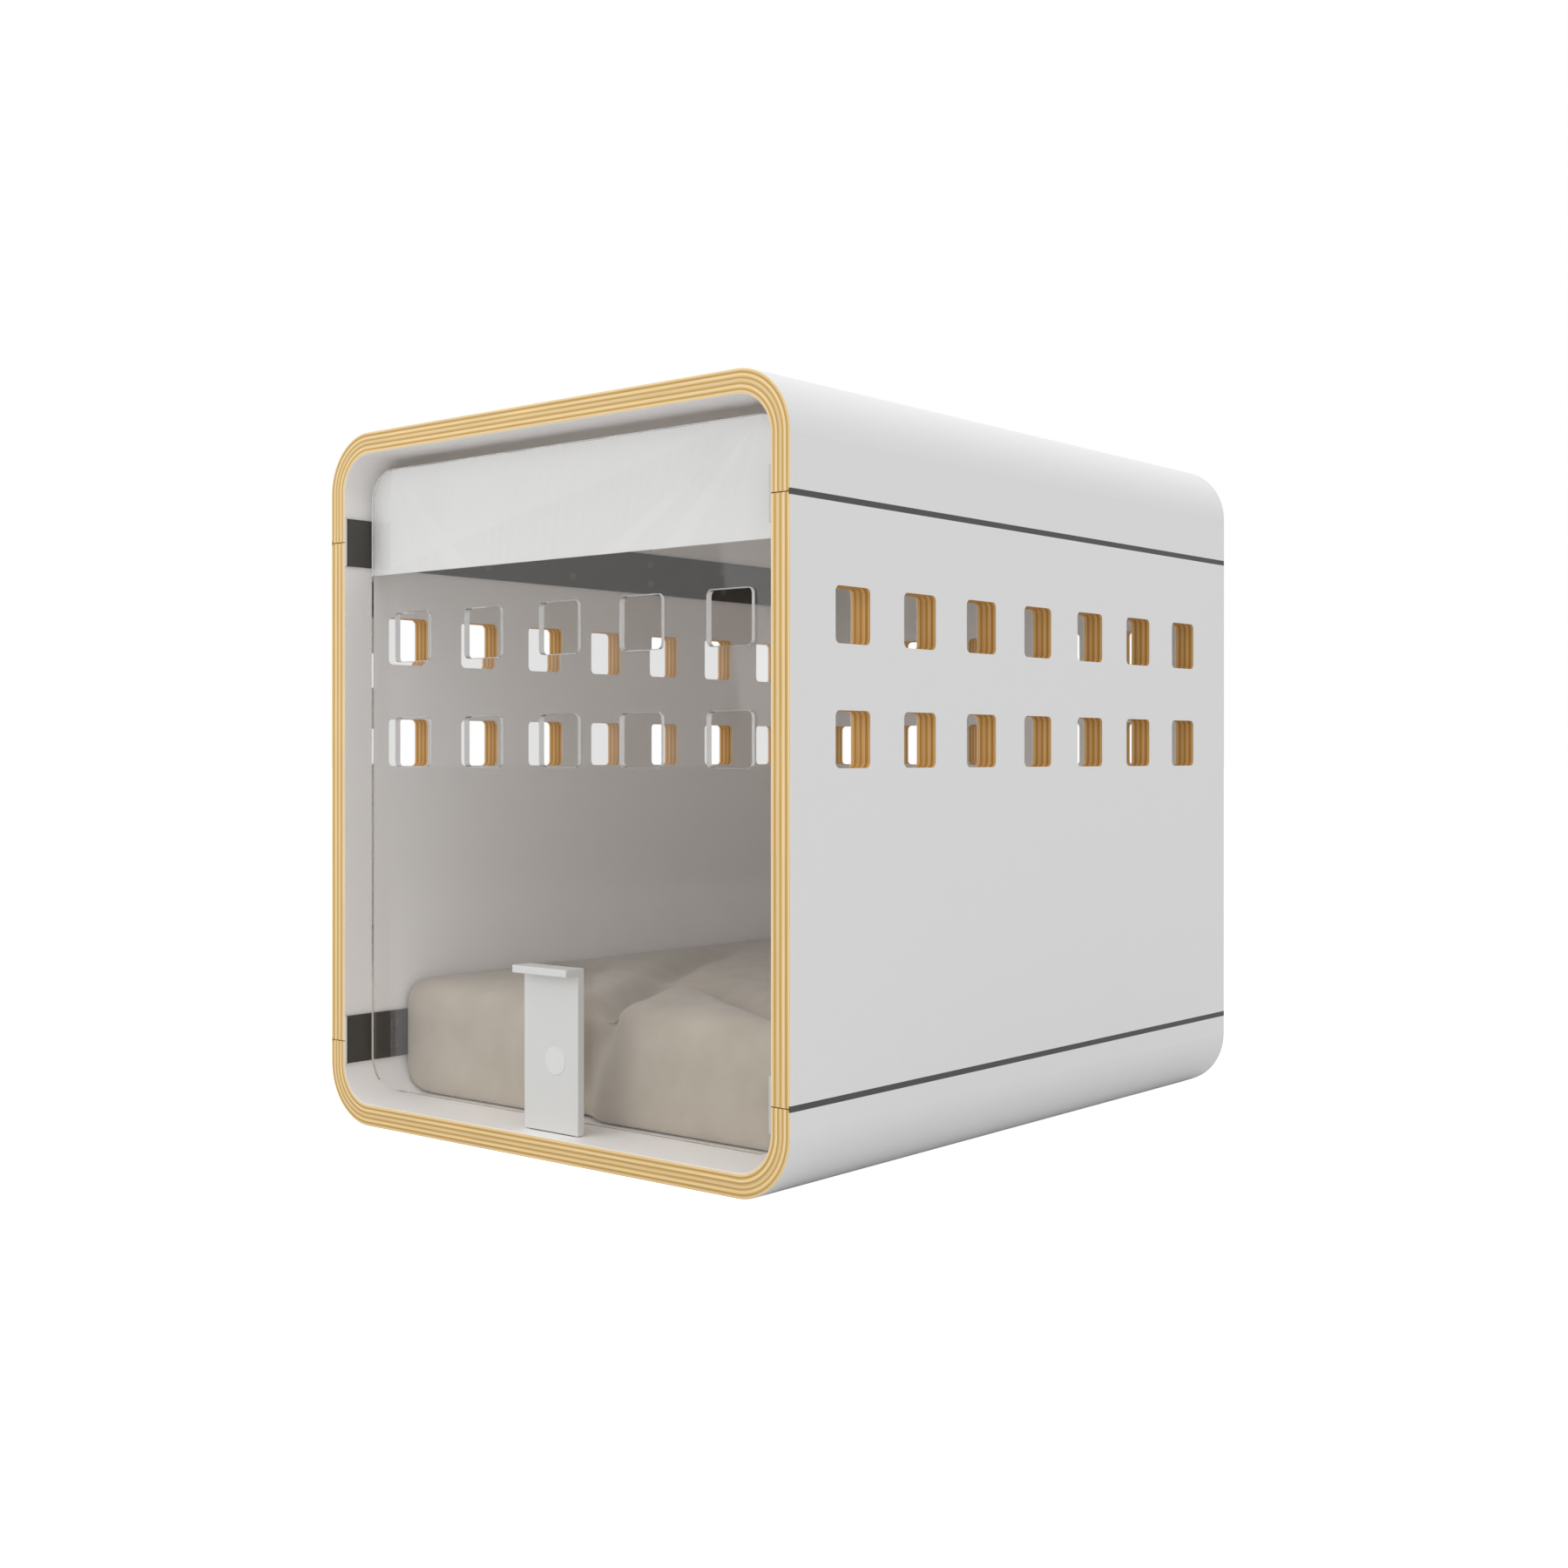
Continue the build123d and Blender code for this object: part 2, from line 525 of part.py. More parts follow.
with BuildPart() as right_hanger:
    with BuildSketch(facing_front(HEADER_BACK)):
        with Locations((HANGER_X + HANGER_THICKNESS - HANGER_FLANGE / 2, PIVOT_Z)):
            RectangleRounded(HANGER_FLANGE, HANGER_HEIGHT, HANGER_CORNER_RADIUS)
        with Locations((STUD_X - HANGER_THICKNESS / 2, PIVOT_Z)):
            with GridLocations(0, STUD_SPACING, 1, 2):
                Circle(STUD_RADIUS + RUNNING_GAP, mode=Mode.SUBTRACT)
    extrude(amount=-HANGER_FLANGE_THICKNESS)
    with BuildSketch(across(HANGER_X)):
        with Locations((PIVOT_Y, PIVOT_Z)):
            Circle(EAR_RADIUS)
        with Locations(((HEADER_BACK + PIVOT_Y) / 2, PIVOT_Z)):
            Rectangle(PIVOT_Y - HEADER_BACK, 2 * EAR_RADIUS)
        with Locations((PIVOT_Y, PIVOT_Z)):
            Circle(BUSH_RADIUS + RUNNING_GAP, mode=Mode.SUBTRACT)
    extrude(amount=HANGER_THICKNESS)
pieces["right_hanger"] = right_hanger
pieces["left_hanger"] = left_twin(right_hanger)

with BuildPart() as right_bushing:
    with BuildSketch(across(HANGER_X)):
        with Locations((PIVOT_Y, PIVOT_Z)):
            Circle(BUSH_RADIUS)
    extrude(amount=HANGER_THICKNESS + BUSH_FLANGE_THICKNESS)
    with BuildSketch(across(HANGER_X + HANGER_THICKNESS)):
        with Locations((PIVOT_Y, PIVOT_Z)):
            Circle(BUSH_FLANGE_RADIUS)
    extrude(amount=BUSH_FLANGE_THICKNESS)
    with BuildSketch(across(HANGER_X)):
        with Locations((PIVOT_Y, PIVOT_Z)):
            Circle(AXLE_RADIUS + RUNNING_GAP)
    extrude(amount=HANGER_THICKNESS + BUSH_FLANGE_THICKNESS, mode=Mode.SUBTRACT)
pieces["right_bushing"] = right_bushing
pieces["left_bushing"] = left_twin(right_bushing)

with BuildPart() as hanger_studs:
    with BuildSketch(facing_front(HEADER_BACK)):
        with Locations((0, PIVOT_Z)):
            with GridLocations(2 * STUD_X - HANGER_THICKNESS, STUD_SPACING, 2, 2):
                Circle(STUD_RADIUS)
    extrude(amount=-STUD_LENGTH)
pieces["hanger_studs"] = hanger_studs

with BuildPart() as hanger_nuts:
    with BuildSketch(facing_front(HANGER_BACK)):
        with Locations((0, PIVOT_Z)):
            with GridLocations(2 * STUD_X - HANGER_THICKNESS, STUD_SPACING, 2, 2):
                RegularPolygon(NUT_RADIUS, 6)
                Circle(STUD_RADIUS + RUNNING_GAP, mode=Mode.SUBTRACT)
    extrude(amount=-NUT_THICKNESS)
pieces["hanger_nuts"] = hanger_nuts

# ---- Latch: a plate that slides up on a flat-sided guide, over magnets on the strike ----
LATCH_FACE = FRONT + LATCH_RECESS
LATCH_BACK = LATCH_FACE + LATCH_THICKNESS
LATCH_BOTTOM = PLY + 0.4    # the magnets hang just clear of the strike
LATCH_ROUND = 0.8
LATCH_EDGE_BREAK = 0.4
CAP_RADIUS = 10.0
CAP_SEAT = 1.6
CAP_PROUD = 0.3
CAVITY_RADIUS = 9.2
CAVITY_FLOOR = LATCH_FACE + 4.1     # front of the slotted wall that the guide's head runs behind
KEY_WIDTH = 6.0
KEY_HEIGHT = 8.0
HEAD_WIDTH = 9.0
HEAD_HEIGHT = 11.0
HEAD_THICKNESS = 1.6
WASHER_RADIUS = 7.0
MAGNET_RADIUS = 2.4
MAGNET_HEIGHT = 7.0
MAGNET_SPACING = 30.0
GUIDE_NUT_RADIUS = 7.0
GUIDE_NUT_THICKNESS = 2.5
HEAD_BACK = CAVITY_FLOOR - FIT_GAP
WASHER_FRONT = LATCH_BACK + 0.2     # the plate runs just clear of the guide's washer

with BuildPart() as latch_plate:
    with BuildSketch(across(-LATCH_WIDTH / 2)):
        with BuildLine():
            Polyline(
                (LATCH_BACK, LATCH_BOTTOM),
                (LATCH_BACK, LATCH_TOP),
                (LATCH_FACE - TAB_REACH, LATCH_TOP),
                (LATCH_FACE - TAB_REACH, LATCH_TOP - TAB_THICKNESS),
                (LATCH_FACE, LATCH_TOP - TAB_THICKNESS),
                (LATCH_FACE, LATCH_BOTTOM),
                close=True,
            )
        make_face()
    extrude(amount=LATCH_WIDTH)
    fillet(latch_plate.edges().filter_by(Axis.X), LATCH_ROUND)
    chamfer(latch_plate.faces().filter_by(Axis.X).edges(), LATCH_EDGE_BREAK)
    with BuildSketch(facing_front(LATCH_FACE)):
        with Locations((GUIDE_X, GUIDE_CAVITY_Z)):
            Circle(CAP_RADIUS + RUNNING_GAP)
    extrude(amount=-CAP_SEAT, mode=Mode.SUBTRACT)
    with BuildSketch(facing_front(LATCH_FACE)):
        with Locations((GUIDE_X, GUIDE_CAVITY_Z)):
            Circle(CAVITY_RADIUS)
    extrude(amount=LATCH_FACE - CAVITY_FLOOR, mode=Mode.SUBTRACT)
    with BuildSketch(facing_front(CAVITY_FLOOR)):
        with Locations((GUIDE_X, GUIDE_CAVITY_Z)):
            SlotOverall(KEY_HEIGHT + LATCH_LIFT + 2 * FIT_GAP, KEY_WIDTH + 2 * FIT_GAP, rotation=90)
    extrude(amount=CAVITY_FLOOR - LATCH_BACK, mode=Mode.SUBTRACT)
    with BuildSketch(Plane.XY.offset(LATCH_BOTTOM)):
        with Locations((0, (LATCH_FACE + LATCH_BACK) / 2)):
            with GridLocations(MAGNET_SPACING, 0, 2, 1):
                Circle(MAGNET_RADIUS + RUNNING_GAP)
    extrude(amount=MAGNET_HEIGHT, mode=Mode.SUBTRACT)
pieces["latch_plate"] = latch_plate

with BuildPart() as latch_cap:
    with BuildSketch(facing_front(LATCH_FACE + CAP_SEAT)):
        with Locations((GUIDE_X, GUIDE_CAVITY_Z)):
            Circle(CAP_RADIUS)
    extrude(amount=CAP_SEAT + CAP_PROUD)
    fillet(latch_cap.edges().sort_by(Axis.Y)[0], CAP_PROUD)
pieces["latch_cap"] = latch_cap

with BuildPart() as latch_magnets:
    with BuildSketch(Plane.XY.offset(LATCH_BOTTOM)):
        with Locations((0, (LATCH_FACE + LATCH_BACK) / 2)):
            with GridLocations(MAGNET_SPACING, 0, 2, 1):
                Circle(MAGNET_RADIUS)
    extrude(amount=MAGNET_HEIGHT)
pieces["latch_magnets"] = latch_magnets

with BuildPart() as latch_guide:
    with BuildSketch(facing_front(HEAD_BACK)):
        with Locations((GUIDE_X, GUIDE_Z)):
            SlotOverall(HEAD_HEIGHT, HEAD_WIDTH, rotation=90)
    extrude(amount=HEAD_THICKNESS)
    with BuildSketch(facing_front(HEAD_BACK)):
        with Locations((GUIDE_X, GUIDE_Z)):
            SlotOverall(KEY_HEIGHT, KEY_WIDTH, rotation=90)
    extrude(amount=HEAD_BACK - WASHER_FRONT)
    with BuildSketch(facing_front(WASHER_FRONT)):
        with Locations((GUIDE_X, GUIDE_Z)):
            Circle(WASHER_RADIUS)
    extrude(amount=WASHER_FRONT - GATE_FACE)
    with BuildSketch(facing_front(GATE_FACE)):
        with Locations((GUIDE_X, GUIDE_Z)):
            Circle(GUIDE_NECK_RADIUS)
    extrude(amount=-GATE_THICKNESS - GUIDE_NUT_THICKNESS)
pieces["latch_guide"] = latch_guide

with BuildPart() as latch_guide_nut:
    with BuildSketch(facing_front(GATE_BACK)):
        with Locations((GUIDE_X, GUIDE_Z)):
            Circle(GUIDE_NUT_RADIUS)
            Circle(GUIDE_NECK_RADIUS + RUNNING_GAP, mode=Mode.SUBTRACT)
    extrude(amount=-GUIDE_NUT_THICKNESS)
pieces["latch_guide_nut"] = latch_guide_nut

# ---- One file for each node ----
os.makedirs("parts", exist_ok=True)
for node_name, piece in pieces.items():
    piece.part.label = node_name
    export_step(piece.part, f"parts/{node_name}.step")
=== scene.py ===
import json
import math

import bpy
import numpy as np
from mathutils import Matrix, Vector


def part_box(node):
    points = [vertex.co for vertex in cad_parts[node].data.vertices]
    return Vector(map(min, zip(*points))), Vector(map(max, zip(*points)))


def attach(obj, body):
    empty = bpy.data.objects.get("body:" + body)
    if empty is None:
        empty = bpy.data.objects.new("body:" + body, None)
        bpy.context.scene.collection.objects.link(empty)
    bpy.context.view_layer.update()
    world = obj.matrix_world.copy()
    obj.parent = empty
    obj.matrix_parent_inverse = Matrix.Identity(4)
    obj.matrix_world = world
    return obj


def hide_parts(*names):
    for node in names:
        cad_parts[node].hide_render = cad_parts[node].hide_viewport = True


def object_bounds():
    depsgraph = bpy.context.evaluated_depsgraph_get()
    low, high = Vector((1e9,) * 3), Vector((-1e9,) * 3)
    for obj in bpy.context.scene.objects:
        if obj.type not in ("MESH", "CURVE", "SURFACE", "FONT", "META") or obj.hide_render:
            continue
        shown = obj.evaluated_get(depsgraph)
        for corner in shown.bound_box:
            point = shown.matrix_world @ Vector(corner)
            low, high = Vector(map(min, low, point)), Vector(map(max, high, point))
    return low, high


# Bentwood pet crate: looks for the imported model. Metres, the crate's own frame: +Z up, the gate faces -Y.
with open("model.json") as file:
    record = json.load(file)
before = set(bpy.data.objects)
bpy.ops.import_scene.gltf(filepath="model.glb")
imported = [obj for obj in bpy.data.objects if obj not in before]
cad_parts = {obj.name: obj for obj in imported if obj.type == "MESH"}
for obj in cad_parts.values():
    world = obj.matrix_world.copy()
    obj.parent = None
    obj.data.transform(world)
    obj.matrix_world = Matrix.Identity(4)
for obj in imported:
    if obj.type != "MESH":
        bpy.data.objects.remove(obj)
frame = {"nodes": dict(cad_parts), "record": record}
cad_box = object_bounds()
nodes = frame["nodes"]

MM = 0.001

# ---- Sizes read from the frame ----
tube_low, tube_high = (np.array(corner) for corner in cad_box)
WIDTH, DEPTH, HEIGHT = (tube_high - tube_low).tolist()
back_low, back_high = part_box("back_panel")
PLY = back_high[1] - back_low[1]
BEND_RADIUS = 44 * MM


# ---- Small tools ----
def linear(hex_colour, alpha=1.0):
    """Linear RGBA of an sRGB hex colour: a channel c becomes c / 12.92 up to 0.04045, and above that
    (c + 0.055) / 1.055 raised to 2.4."""
    channels = np.array([int(hex_colour[k : k + 2], 16) for k in (0, 2, 4)]) / 255
    low = channels / 12.92
    high = ((channels + 0.055) / 1.055) ** 2.4
    return (*np.where(channels <= 0.04045, low, high).tolist(), alpha)


def add(tree, kind, inputs=None, **settings):
    """Adds one shader node. Each input is a value for its socket, or an output socket to link to it."""
    node = tree.nodes.new("ShaderNode" + kind)
    for name, value in settings.items():
        setattr(node, name, value)
    for socket, value in (inputs or {}).items():
        if isinstance(value, bpy.types.NodeSocket):
            tree.links.new(value, node.inputs[socket])
        else:
            node.inputs[socket].default_value = value
    return node


def new_material(name, **surface):
    """A material with one Principled shader whose sockets take the given values, and its tree."""
    material = bpy.data.materials.new(name)
    material.use_nodes = True
    tree = material.node_tree
    shader = tree.nodes["Principled BSDF"]
    for socket, value in surface.items():
        shader.inputs[socket.replace("_", " ").title().replace("Ior", "IOR")].default_value = value
    return material, tree, shader


# ---- Plywood ----
BENT_PLIES = 9
FLAT_PLIES = 7
PLY_LIGHT = "F4D8A2"
PLY_DARK = "D0A65D"
ROUTED_TINT = (0.80, 0.65, 0.45)    # the vents' routed edges are tinted darker than the sanded open ends
ROUTED_WITHIN = DEPTH / 2 - 4 * MM  # edges nearer to the middle of the tube's depth than this are routed
LAMINATE = "EBEBEB"
# Painted light: the inner face's laminate is set paler and warmer than the outer, to brighten the inside of
# the tube.
LAMINATE_INSIDE_PAINTED_LIGHT = "FCF9F7"
LAMINATE_DEPTH = 0.25 * MM
# Tones of each pair of plies, by share of the pair from the outside in. Each pair starts and ends light.
STRIPE_STEPS = ((0.38, PLY_LIGHT), (0.62, PLY_DARK), (0.88, PLY_DARK))
GRAIN_LENGTH = 41.67 * MM
GRAIN_WIDTH = 0.769 * MM
GRAIN_TONES = (0.88, 1.07)          # how much the grain darkens and lightens the wood
LAYER_TONES = (0.92, 1.04)          # the same, from one ply to the next
WOOD_ROUGHNESS = 0.62
LAMINATE_ROUGHNESS = (0.36, 0.46)
SMUDGE_SIZE = 111 * MM
GRAIN_RELIEF = 0.1 * MM


def tube_depth(tree, place):
    """Depth below the tube's outer skin: the bend's radius less the signed distance to the tube's core, which
    is a plain box, smaller than the tube by that radius all round."""
    to_core = []
    for axis, middle, half in (("X", 0.0, WIDTH / 2), ("Z", HEIGHT / 2, HEIGHT / 2)):
        centred = add(tree, "Math", {0: place.outputs[axis], 1: middle}, operation="SUBTRACT")
        size = add(tree, "Math", {0: centred.outputs[0]}, operation="ABSOLUTE")
        to_core.append(add(tree, "Math", {0: size.outputs[0], 1: half - BEND_RADIUS}, operation="SUBTRACT"))
    outside = [add(tree, "Math", {0: q.outputs[0], 1: 0.0}, operation="MAXIMUM") for q in to_core]
    corner = add(tree, "CombineXYZ", {"X": outside[0].outputs[0], "Y": outside[1].outputs[0]})
    distance = add(tree, "VectorMath", {0: corner.outputs[0]}, operation="LENGTH")
    nearest = add(tree, "Math", {0: to_core[0].outputs[0], 1: to_core[1].outputs[0]}, operation="MAXIMUM")
    inside = add(tree, "Math", {0: nearest.outputs[0], 1: 0.0}, operation="MINIMUM")
    signed = add(tree, "Math", {0: distance.outputs["Value"], 1: inside.outputs[0]}, operation="ADD")
    return add(tree, "Math", {0: BEND_RADIUS, 1: signed.outputs[0]}, operation="SUBTRACT").outputs[0]


def panel_depth(tree, place):
    """Depth below the back panel's outer face, along Y."""
    return add(tree, "Math", {0: back_high[1], 1: place.outputs["Y"]}, operation="SUBTRACT").outputs[0]


def plywood(name, depth_of, plies):
    """Birch plywood under white laminate: striped plies where the edge is cut, satin white on both faces."""
    material, tree, shader = new_material(name)
    coordinates = add(tree, "TexCoord").outputs["Object"]
    place = add(tree, "SeparateXYZ", {0: coordinates})
    depth = depth_of(tree, place)

    # Stripes: every second ply shows its darker end grain. The change from light to dark is soft.
    ply = add(tree, "Math", {0: depth, 1: plies / PLY}, operation="MULTIPLY").outputs[0]
    pair = add(tree, "Math", {0: ply, 1: 0.5}, operation="MULTIPLY").outputs[0]
    turn = add(tree, "Math", {0: pair}, operation="FRACT").outputs[0]
    stripes = add(tree, "ValToRGB", {0: turn})
    ramp = stripes.color_ramp
    ramp.elements[0].color = ramp.elements[1].color = linear(PLY_LIGHT)
    for position, colour in STRIPE_STEPS:
        ramp.elements.new(position).color = linear(colour)

    # Grain: long streaks that follow the plies round the bends, and a tone of its own for each ply.
    along = add(tree, "VectorMath", {0: coordinates, "Scale": 1 / GRAIN_LENGTH}, operation="SCALE")
    across = add(tree, "Math", {0: depth, 1: 1 / GRAIN_WIDTH}, operation="MULTIPLY")
    lift = add(tree, "CombineXYZ", {"X": across.outputs[0], "Y": across.outputs[0], "Z": across.outputs[0]})
    grain_place = add(tree, "VectorMath", {0: along.outputs[0], 1: lift.outputs[0]}, operation="ADD")
    grain = add(tree, "TexNoise", {"Vector": grain_place.outputs[0], "Scale": 1.0, "Detail": 3.0})
    grain_tone = add(tree, "MapRange", {"Value": grain.outputs["Fac"], "From Min": 0.3, "From Max": 0.7,
                                        "To Min": GRAIN_TONES[0], "To Max": GRAIN_TONES[1]})
    layer = add(tree, "Math", {0: ply}, operation="FLOOR")
    layer_chance = add(tree, "TexWhiteNoise", {"W": layer.outputs[0]}, noise_dimensions="1D")
    layer_tone = add(tree, "MapRange", {"Value": layer_chance.outputs["Value"],
                                        "To Min": LAYER_TONES[0], "To Max": LAYER_TONES[1]})
    tone = add(tree, "Math", {0: grain_tone.outputs[0], 1: layer_tone.outputs[0]}, operation="MULTIPLY")
    sanded = add(tree, "VectorMath", {0: stripes.outputs["Color"], "Scale": tone.outputs[0]},
                 operation="SCALE")
    # Edges deeper in the tube than the open ends take a darker tint.
    tinted_darker = add(tree, "VectorMath", {0: sanded.outputs[0], 1: ROUTED_TINT}, operation="MULTIPLY")
    from_open_end = add(tree, "Math", {0: place.outputs["Y"]}, operation="ABSOLUTE")
    routed = add(tree, "Math", {0: from_open_end.outputs[0], 1: ROUTED_WITHIN}, operation="LESS_THAN")
    wood = add(tree, "Mix", {"Factor": routed.outputs[0], 6: sanded.outputs[0], 7: tinted_darker.outputs[0]},
               data_type="RGBA")

    # Laminate: wherever the surface lies on either face of the panel. The inner face is painted paler and
    # warmer than the outer one: painted light, standing in for the light inside the tube.
    middle = add(tree, "Math", {0: depth, 1: PLY / 2}, operation="SUBTRACT")
    from_middle = add(tree, "Math", {0: middle.outputs[0]}, operation="ABSOLUTE")
    face = add(tree, "Math", {0: from_middle.outputs[0], 1: PLY / 2 - LAMINATE_DEPTH},
               operation="GREATER_THAN")
    inner = add(tree, "Math", {0: depth, 1: PLY / 2}, operation="GREATER_THAN")
    white = add(tree, "Mix", {"Factor": inner.outputs[0], 6: linear(LAMINATE), 7: linear(LAMINATE_INSIDE_PAINTED_LIGHT)},
                data_type="RGBA")
    colour = add(tree, "Mix", {"Factor": face.outputs[0], 6: wood.outputs[2], 7: white.outputs[2]},
                 data_type="RGBA")
    tree.links.new(colour.outputs[2], shader.inputs["Base Color"])

    smudge = add(tree, "TexNoise", {"Vector": coordinates, "Scale": 1 / SMUDGE_SIZE, "Detail": 2.0})
    satin = add(tree, "MapRange", {"Value": smudge.outputs["Fac"],
                                   "To Min": LAMINATE_ROUGHNESS[0], "To Max": LAMINATE_ROUGHNESS[1]})
    roughness = add(tree, "Mix", {"Factor": face.outputs[0], 2: WOOD_ROUGHNESS, 3: satin.outputs[0]},
                    data_type="FLOAT")
    tree.links.new(roughness.outputs[0], shader.inputs["Roughness"])

    relief = add(tree, "Mix", {"Factor": face.outputs[0], 2: grain.outputs["Fac"], 3: 0.5},
                 data_type="FLOAT")
    bump = add(tree, "Bump", {"Height": relief.outputs[0], "Strength": 0.1, "Distance": GRAIN_RELIEF})
    tree.links.new(bump.outputs[0], shader.inputs["Normal"])
    return material


# ---- Plain finishes ----
VENTS_REACH = 190 * MM      # the gate's vents lie nearer to its middle than this, its outer edge beyond
UNDERSIDE_BELOW = 30 * MM   # the gate's underside lies lower than this, and its vents higher
FROSTED_CLEARNESS = 0.12    # how much light a fully frosted edge still lets through unscattered
FROSTED_ROUGHNESS = 0.35
POLISHED_ROUGHNESS = 0.015
LEVEL_FROSTING = 0.2        # frosting of a level edge, as a share of an upright one's
ROUGHNESS_WANDER = 0.06
WANDER_SIZE = 71.4 * MM
STRIP_COAT = "46433F"
# The strip's end faces are coloured a light grey.
STRIP_END_GREY = "C6C6C4"


def coated(name, hex_colour, roughness, peel_size, peel_depth, **surface):
    """A plain finish: one colour, a fine relief such as orange peel, and roughness that wanders a little."""
    material, tree, shader = new_material(name, base_color=linear(hex_colour), **surface)
    coordinates = add(tree, "TexCoord").outputs["Object"]
    wander = add(tree, "TexNoise", {"Vector": coordinates, "Scale": 1 / WANDER_SIZE, "Detail": 3.0})
    satin = add(tree, "MapRange", {"Value": wander.outputs["Fac"], "To Min": roughness - ROUGHNESS_WANDER,
                                   "To Max": roughness + ROUGHNESS_WANDER})
    tree.links.new(satin.outputs[0], shader.inputs["Roughness"])
    peel = add(tree, "TexNoise", {"Vector": coordinates, "Scale": 1 / peel_size, "Detail": 2.0})
    bump = add(tree, "Bump", {"Height": peel.outputs["Fac"], "Strength": 0.2, "Distance": peel_depth})
    tree.links.new(bump.outputs[0], shader.inputs["Normal"])
    return material


def coated_strip():
    """Steel strip, powder coated, whose two ends, the faces that look along Y, are coloured a light grey."""
    material = coated("charcoal_powder_coat_strip", STRIP_COAT, 0.34, 1.2 * MM, 0.05 * MM)
    tree = material.node_tree
    normal = add(tree, "SeparateXYZ", {0: add(tree, "TexCoord").outputs["Normal"]})
    facing = add(tree, "Math", {0: normal.outputs["Y"]}, operation="ABSOLUTE")
    end_face = add(tree, "Math", {0: facing.outputs[0], 1: 0.5}, operation="GREATER_THAN")
    colour = add(tree, "Mix", {"Factor": end_face.outputs[0], 6: linear(STRIP_COAT), 7: linear(STRIP_END_GREY)},
                 data_type="RGBA")
    tree.links.new(colour.outputs[2], tree.nodes["Principled BSDF"].inputs["Base Color"])
    return material


def clear_acrylic():
    """Cast acrylic sheet, clear and polished. The sawn edges of its vents are frosted, the upright ones
    most, so they catch the light. Light on its way to the inside passes straight through the sheet. So
    does all that meets its underside, which would only show as a dark hairline."""
    material, tree, shader = new_material("polished_clear_acrylic", base_color=linear("F9F9F9"), ior=1.49)
    coordinates = add(tree, "TexCoord")
    normal = add(tree, "SeparateXYZ", {0: coordinates.outputs["Normal"]})
    place = add(tree, "SeparateXYZ", {0: coordinates.outputs["Object"]})
    facing = add(tree, "Math", {0: normal.outputs["Y"]}, operation="ABSOLUTE")
    aside = add(tree, "Math", {0: place.outputs["X"]}, operation="ABSOLUTE")
    edge = add(tree, "Math", {0: facing.outputs[0], 1: 0.8}, operation="LESS_THAN")
    inboard = add(tree, "Math", {0: aside.outputs[0], 1: VENTS_REACH}, operation="LESS_THAN")
    aslant = add(tree, "Math", {0: normal.outputs["X"]}, operation="ABSOLUTE")
    upright = add(tree, "MapRange", {"Value": aslant.outputs[0], "From Min": 0.4, "From Max": 0.9,
                                     "To Min": LEVEL_FROSTING})
    where = add(tree, "Math", {0: inboard.outputs[0], 1: upright.outputs[0]}, operation="MULTIPLY")
    frosted = add(tree, "Math", {0: edge.outputs[0], 1: where.outputs[0]}, operation="MULTIPLY")
    clear = add(tree, "MapRange", {"Value": frosted.outputs[0], "To Min": 1.0, "To Max": FROSTED_CLEARNESS})
    rough = add(tree, "MapRange", {"Value": frosted.outputs[0], "To Min": POLISHED_ROUGHNESS,
                                   "To Max": FROSTED_ROUGHNESS})
    tree.links.new(clear.outputs[0], shader.inputs["Transmission Weight"])
    tree.links.new(rough.outputs[0], shader.inputs["Roughness"])

    rays = add(tree, "LightPath")
    passing = add(tree, "Math", {0: rays.outputs["Is Shadow Ray"], 1: rays.outputs["Is Diffuse Ray"]},
                  operation="MAXIMUM")
    low = add(tree, "Math", {0: place.outputs["Z"], 1: UNDERSIDE_BELOW}, operation="LESS_THAN")
    upward = add(tree, "Math", {0: normal.outputs["Z"]}, operation="ABSOLUTE")
    level = add(tree, "Math", {0: upward.outputs[0], 1: 0.3}, operation="GREATER_THAN")
    underside = add(tree, "Math", {0: low.outputs[0], 1: level.outputs[0]}, operation="MULTIPLY")
    unseen = add(tree, "Math", {0: passing.outputs[0], 1: underside.outputs[0]}, operation="MAXIMUM")
    straight = add(tree, "BsdfTransparent", {"Color": linear("FFFFFF")})
    blend = add(tree, "MixShader", {0: unseen.outputs[0], 1: shader.outputs[0], 2: straight.outputs[0]})
    tree.links.new(blend.outputs[0], tree.nodes["Material Output"].inputs["Surface"])
    return material


CLOTH_TONES = ("B3A797", "BFB4A5")
NAP_PATCH = 28.6 * MM
FIBRE_SIZE = 1.11 * MM      # coarser than the real fibres, so that they show
FIBRE_RELIEF = 0.3 * MM


def brushed_cloth():
    """Brushed polyester cover: soft taupe with a fine fuzz and patches where the nap lies another way."""
    material, tree, shader = new_material(
        "brushed_taupe_cloth", roughness=0.9, sheen_weight=0.25, sheen_roughness=0.6)
    coordinates = add(tree, "TexCoord").outputs["Object"]
    nap = add(tree, "TexNoise", {"Vector": coordinates, "Scale": 1 / NAP_PATCH, "Detail": 4.0})
    colour = add(tree, "ValToRGB", {0: nap.outputs["Fac"]})
    for element, position, tone in zip(colour.color_ramp.elements, (0.3, 0.7), CLOTH_TONES):
        element.position = position
        element.color = linear(tone)
    tree.links.new(colour.outputs["Color"], shader.inputs["Base Color"])
    fibre = add(tree, "TexNoise", {"Vector": coordinates, "Scale": 1 / FIBRE_SIZE, "Detail": 2.0})
    bump = add(tree, "Bump", {"Height": fibre.outputs["Fac"], "Strength": 0.3, "Distance": FIBRE_RELIEF})
    tree.links.new(bump.outputs[0], shader.inputs["Normal"])
    return material


bent_plywood = plywood("laminated_birch_plywood_bent", tube_depth, BENT_PLIES)
wall_plywood = plywood("laminated_birch_plywood_wall", tube_depth, FLAT_PLIES)
back_plywood = plywood("laminated_birch_plywood_back", panel_depth, FLAT_PLIES)
charcoal_coat = coated_strip()
